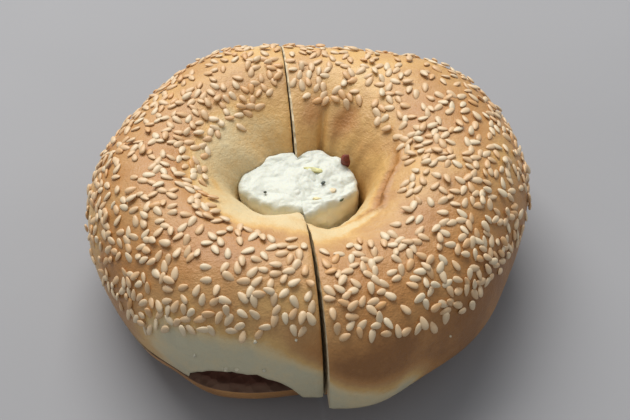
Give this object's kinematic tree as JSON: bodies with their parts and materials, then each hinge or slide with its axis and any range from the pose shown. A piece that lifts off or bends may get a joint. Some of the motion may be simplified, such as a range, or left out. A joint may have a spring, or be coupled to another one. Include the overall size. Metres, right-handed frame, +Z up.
{
  "type": "sesame bagel with soft cheese",
  "caption": "Seeded bread ring, sliced level and spread with soft cheese that wells up in the hole, cut across into halves.",
  "frame": {"origin": "on the table, under the middle of the bagel's bounding box", "axes": "+X across the knife cut to the right half, +Y along the cut to the back, +Z up"},
  "size_m": [0.1093, 0.103, 0.0404],
  "materials": {
    "upper_crust": "satin baked crust, golden brown with pale seeds pressed in",
    "lower_crust": "satin baked crust, brown",
    "soft_cheese": "soft satin, creamy white"
  },
  "bodies": {
    "root": {"top_left": "upper_crust", "top_right": "upper_crust", "bottom_left": "lower_crust", "bottom_right": "lower_crust", "cheese_left": "soft_cheese", "cheese_right": "soft_cheese"}
  },
  "joints": []
}
